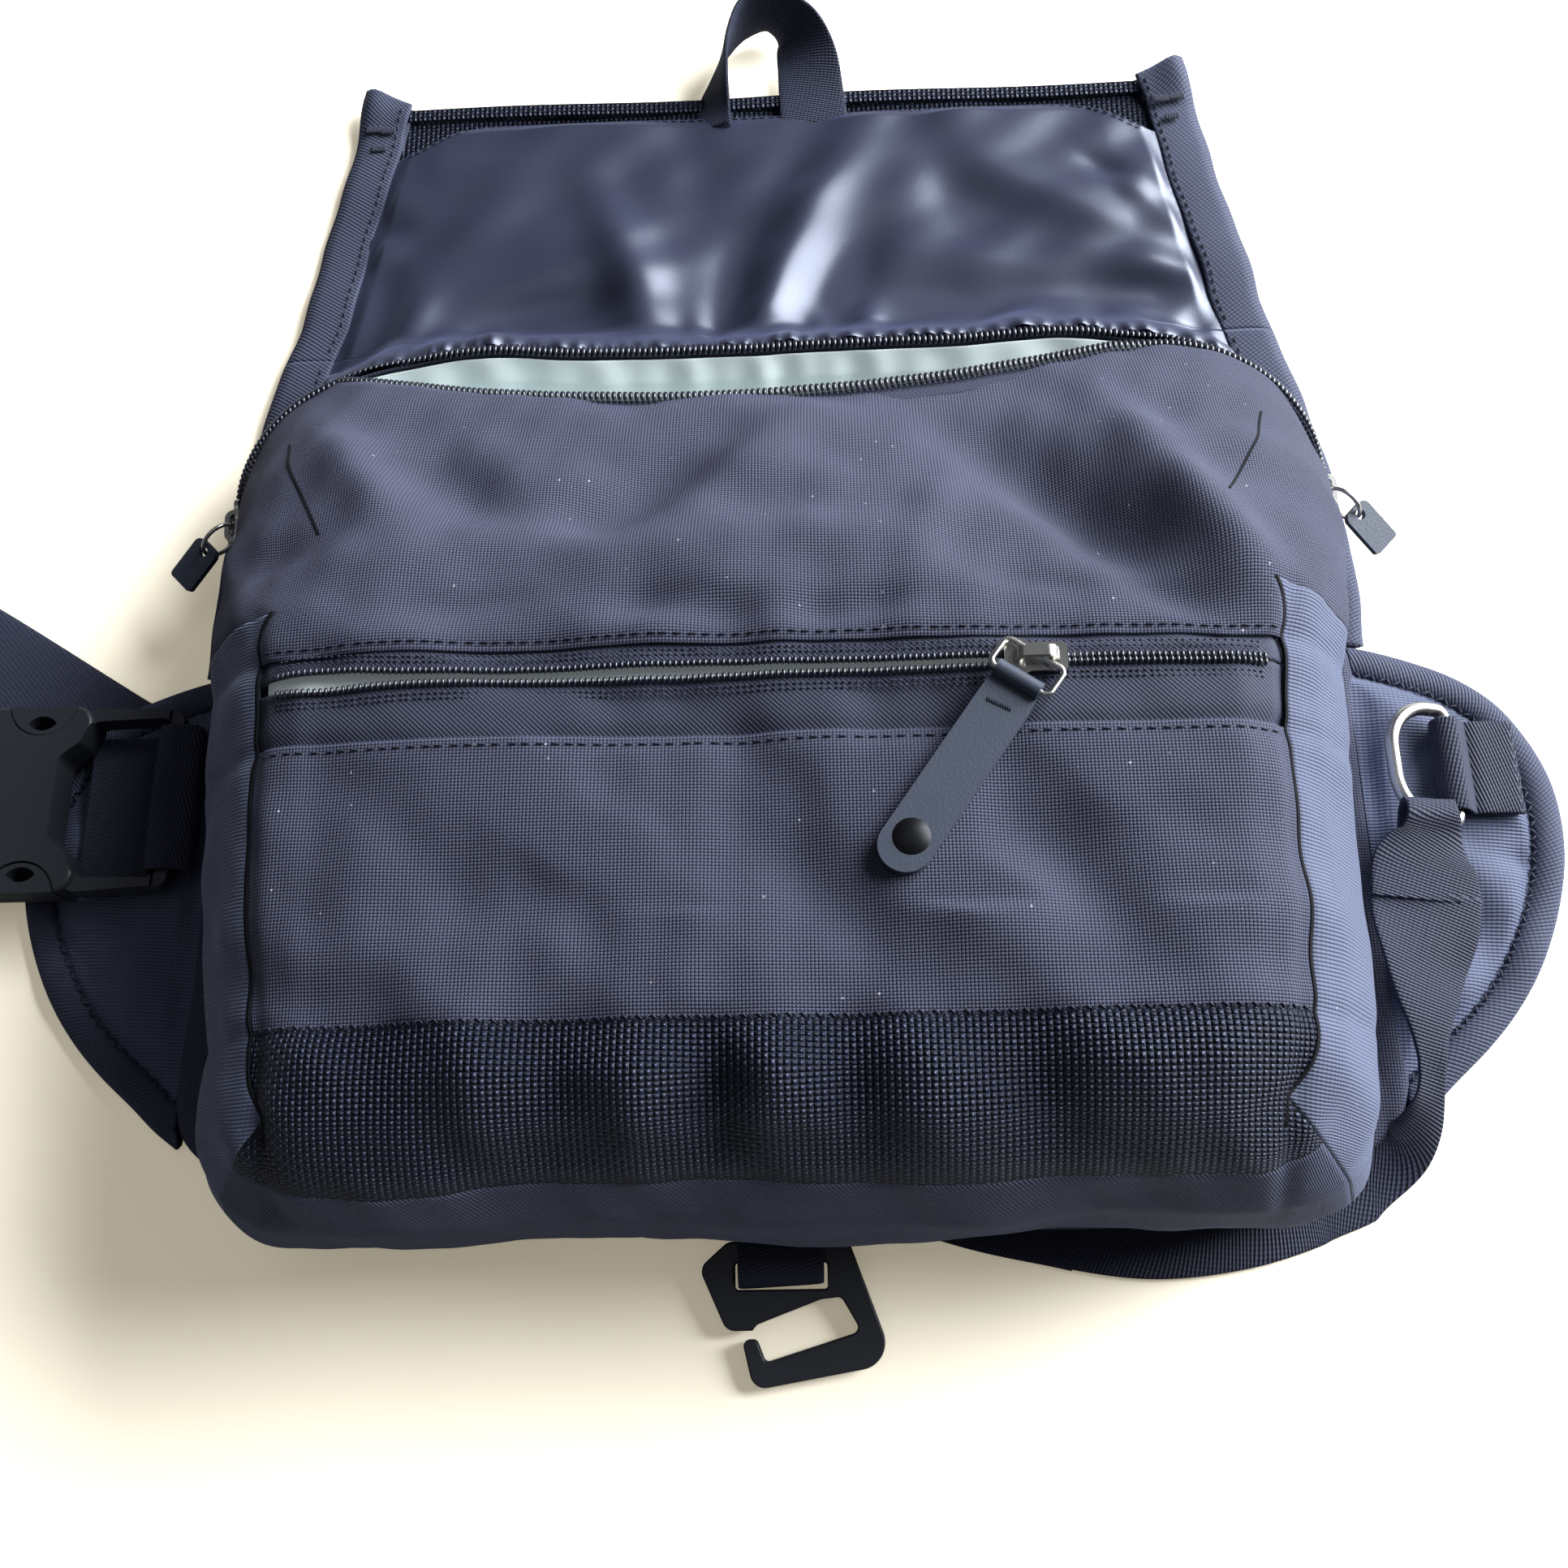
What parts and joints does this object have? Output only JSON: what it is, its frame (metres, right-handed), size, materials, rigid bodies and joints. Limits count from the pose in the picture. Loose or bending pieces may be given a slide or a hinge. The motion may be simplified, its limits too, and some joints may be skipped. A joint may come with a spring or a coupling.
{
  "type": "waist pack",
  "caption": "Soft waist pack for skiing with a fold-open flap, zipped pockets, hip wings, belt strap, side-release buckle, hook and ring.",
  "frame": {"origin": "on the rest face of the back panel, on its centre line, 116.5 mm below the pouch's top edge as worn", "axes": "+X across the pack towards the D-ring, +Y towards the opened flap, +Z out of the front face"},
  "size_m": [0.486, 0.3903, 0.0764],
  "materials": {
    "canvas": "woven nylon",
    "ballistic": "coarse shiny weave",
    "binding": "twill tape",
    "satin": "shiny lining",
    "pale_lining": "matt lining",
    "zip_tape": "woven tape",
    "zip_coil": "nylon coil",
    "webbing": "ribbed webbing",
    "black_plastic": "moulded, fine grain",
    "nickel": "bright nickel",
    "leather": "smooth",
    "dark_metal": "gloss black"
  },
  "bodies": {
    "pack": {"front_panel_upper": "canvas", "front_panel_lower": "canvas", "base_panel": "ballistic", "bottom_gusset": "canvas", "side_gusset_right": "canvas", "side_gusset_left": "canvas", "main_zip_tape_front": "zip_tape", "main_zip_tape_back": "zip_tape", "main_zip_coil_front": "zip_coil", "main_zip_coil_back": "zip_coil", "compartment_lining": "pale_lining", "front_zip_tape_upper": "zip_tape", "front_zip_tape_lower": "zip_tape", "front_zip_coil_upper": "zip_coil", "front_zip_coil_lower": "zip_coil", "pocket_lining": "pale_lining", "back_panel": "canvas", "back_binding_right": "binding", "back_binding_left": "binding", "strap_under": "webbing", "g_hook_loop": "webbing"},
    "flap_base": {"flap_base_outer": "canvas", "flap_base_lining": "satin", "flap_base_binding_right": "binding", "flap_base_binding_left": "binding"},
    "flap": {"flap_outer": "ballistic", "flap_lining": "satin", "flap_binding_right": "binding", "flap_binding_left": "binding", "flap_pull_loop": "webbing"},
    "wing_right": {"wing_right": "canvas", "wing_border_right": "binding", "strap_right": "webbing", "d_ring_tab": "webbing"},
    "wing_left": {"wing_left": "canvas", "wing_border_left": "binding", "strap_left": "webbing", "wing_webbing_left": "webbing", "buckle_female": "black_plastic"},
    "d_ring": {"d_ring": "nickel", "strap_ring_loop": "webbing"},
    "g_hook": {"g_hook": "black_plastic"},
    "buckle_male": {"buckle_male": "black_plastic", "strap_buckle_end": "webbing"},
    "prong_upper": {"prong_upper": "black_plastic"},
    "prong_lower": {"prong_lower": "black_plastic"},
    "front_slider": {"front_slider": "nickel"},
    "front_bail": {"front_bail": "nickel"},
    "front_pull": {"front_pull": "leather", "front_pull_rivet": "dark_metal"},
    "right_slider": {"right_slider": "nickel"},
    "right_ring": {"right_ring": "nickel"},
    "right_pull": {"right_pull": "leather"},
    "left_slider": {"left_slider": "nickel"},
    "left_ring": {"left_ring": "nickel"},
    "left_pull": {"left_pull": "leather"}
  },
  "joints": [
    {"name": "flap_rise", "type": "hinge", "parent": "pack", "child": "flap_base", "pos_m": [0, 0.1187, 0.0034], "axis": [1, 0, 0], "range_deg": [0, 90]},
    {"name": "flap_fold", "type": "hinge", "parent": "flap_base", "child": "flap", "pos_m": [0, 0.141, 0.0034], "axis": [1, 0, 0], "range_deg": [0, 52]},
    {"name": "wing_right_fold", "type": "hinge", "parent": "pack", "child": "wing_right", "pos_m": [0.1466, -0.028, 0.00075], "axis": [0, 1, 0], "range_deg": [-15, 70]},
    {"name": "wing_left_fold", "type": "hinge", "parent": "pack", "child": "wing_left", "pos_m": [-0.1466, -0.028, 0.00075], "axis": [0, -1, 0], "range_deg": [-15, 70]},
    {"name": "buckle_release", "type": "slide", "parent": "wing_left", "child": "buckle_male", "axis": [-1, 0, 0], "range_m": [0, 0.036], "deforming": ["prong_upper", "prong_lower"]},
    {"name": "prong_upper_flex", "type": "hinge", "parent": "buckle_male", "child": "prong_upper", "pos_m": [-0.215, 0.011, 0.0136], "axis": [0, 0, -1], "range_deg": [0, 6], "stiffness_Nm_per_rad": 1.5},
    {"name": "prong_lower_flex", "type": "hinge", "parent": "buckle_male", "child": "prong_lower", "pos_m": [-0.215, -0.019, 0.0136], "axis": [0, 0, 1], "range_deg": [0, 6], "stiffness_Nm_per_rad": 1.5},
    {"name": "front_slider_slide", "type": "slide", "parent": "pack", "child": "front_slider", "axis": [1, 0, 0], "range_m": [-0.158, 0.042]},
    {"name": "front_bail_turn", "type": "hinge", "parent": "front_slider", "child": "front_bail", "pos_m": [0.058, 0.0025, 0.0736], "axis": [-0.8192, 0.5736, 0], "range_deg": [0, 90]},
    {"name": "front_pull_turn", "type": "hinge", "parent": "front_bail", "child": "front_pull", "pos_m": [0.05372, -0.00361, 0.07438], "axis": [-0.8192, 0.5736, 0], "range_deg": [0, 85]},
    {"name": "right_slider_slide", "type": "slide", "parent": "pack", "child": "right_slider", "axis": [0.0652, 0.9979, 0], "range_m": [-0.014, 0.0025]},
    {"name": "right_ring_turn", "type": "hinge", "parent": "right_slider", "child": "right_ring", "pos_m": [0.14119, 0.06883, 0.02], "axis": [0, 0, 1], "range_deg": [-28, 105]},
    {"name": "right_pull_turn", "type": "hinge", "parent": "right_ring", "child": "right_pull", "pos_m": [0.14841, 0.06192, 0.02], "axis": [0, 0, 1], "range_deg": [-28, 28]},
    {"name": "left_slider_slide", "type": "slide", "parent": "pack", "child": "left_slider", "axis": [-0.0652, 0.9979, 0], "range_m": [-0.014, 0.0025]},
    {"name": "left_ring_turn", "type": "hinge", "parent": "left_slider", "child": "left_ring", "pos_m": [-0.14119, 0.06883, 0.02], "axis": [0, 0, -1], "range_deg": [-28, 105]},
    {"name": "left_pull_turn", "type": "hinge", "parent": "left_ring", "child": "left_pull", "pos_m": [-0.14841, 0.06192, 0.02], "axis": [0, 0, -1], "range_deg": [-28, 28]},
    {"name": "d_ring_swing", "type": "hinge", "parent": "wing_right", "child": "d_ring", "pos_m": [0.165, -0.003, 0.0104], "axis": [0, 1, 0], "range_deg": [-10, 35]},
    {"name": "g_hook_swing", "type": "hinge", "parent": "pack", "child": "g_hook", "pos_m": [0, -0.1149, 0.0048], "axis": [-1, 0, 0], "range_deg": [-80, 80]}
  ],
  "couplings": [
    {"joint": "flap_fold", "follows": "flap_rise", "ratio": 0.5777},
    {"joint": "prong_lower_flex", "follows": "prong_upper_flex", "ratio": 1}
  ]
}
